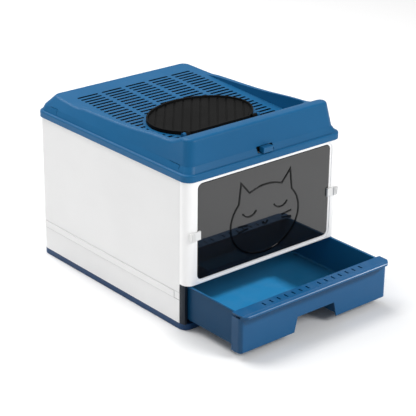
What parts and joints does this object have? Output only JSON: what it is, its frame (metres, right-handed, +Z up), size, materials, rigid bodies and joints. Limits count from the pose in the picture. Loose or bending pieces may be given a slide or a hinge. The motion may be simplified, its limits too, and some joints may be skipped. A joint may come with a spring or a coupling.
{
  "type": "drawer litter box",
  "caption": "Covered cat litter box with a pull-out litter drawer, smoked swing door, sliding door clips and a lift-off vented cover with an entry hatch.",
  "frame": {"origin": "centre of the base tray's underside, at floor level", "axes": "+X to the right seen from the front, +Y to the back along the length with the drawer drawn out towards -Y, +Z up"},
  "size_m": [0.415, 0.672, 0.399],
  "materials": {
    "cabinet_white": "white moulded polypropylene, satin",
    "tray_blue": "deep blue moulded polypropylene, satin",
    "drawer_blue": "blue moulded polypropylene, satin",
    "cover_blue": "blue moulded polypropylene, satin",
    "rail_slate": "dark slate moulded polypropylene",
    "smoked_clear": "smoked glossy styrene sheet",
    "clip_white": "white moulded acetal",
    "hatch_black": "black ribbed polypropylene",
    "pin_black": "black nylon pins"
  },
  "bodies": {
    "cabinet": {"base_tray": "tray_blue", "left_side_panel": "cabinet_white", "right_side_panel": "cabinet_white", "back_panel": "cabinet_white", "front_frame": "cabinet_white", "left_drawer_rail": "rail_slate", "right_drawer_rail": "rail_slate"},
    "drawer": {"drawer_tub": "drawer_blue", "drawer_fascia": "drawer_blue", "drawer_ledge": "drawer_blue"},
    "door": {"front_door": "smoked_clear", "door_hinge_pins": "pin_black"},
    "left_clip": {"left_door_clip": "clip_white", "left_clip_keeper": "clip_white"},
    "right_clip": {"right_door_clip": "clip_white", "right_clip_keeper": "clip_white"},
    "cover": {"top_cover": "cover_blue"},
    "hatch": {"top_hatch": "hatch_black", "hatch_hinge_pins": "pin_black"},
    "latch": {"lid_latch": "cover_blue"}
  },
  "joints": [
    {"name": "drawer_slide", "type": "slide", "parent": "cabinet", "child": "drawer", "axis": [0, -1, 0], "range_m": [-0.138, 0.18]},
    {"name": "door_swing", "type": "hinge", "parent": "cabinet", "child": "door", "pos_m": [0, -0.2476, 0.306], "axis": [1, 0, 0], "range_deg": [0, 80]},
    {"name": "left_clip_slide", "type": "slide", "parent": "cabinet", "child": "left_clip", "axis": [-1, 0, 0], "range_m": [0, 0.0046]},
    {"name": "right_clip_slide", "type": "slide", "parent": "cabinet", "child": "right_clip", "axis": [1, 0, 0], "range_m": [0, 0.0046]},
    {"name": "cover_lift", "type": "slide", "parent": "cabinet", "child": "cover", "axis": [0, 0, 1], "range_m": [0, 0.12]},
    {"name": "hatch_swing", "type": "hinge", "parent": "cover", "child": "hatch", "pos_m": [0, -0.1115, 0.35532], "axis": [1, 0, 0], "range_deg": [0, 95]},
    {"name": "latch_press", "type": "slide", "parent": "cover", "child": "latch", "axis": [0, 1, 0], "range_m": [0, 0.0035], "stiffness_N_per_m": 300, "springref_m": -0.002}
  ]
}
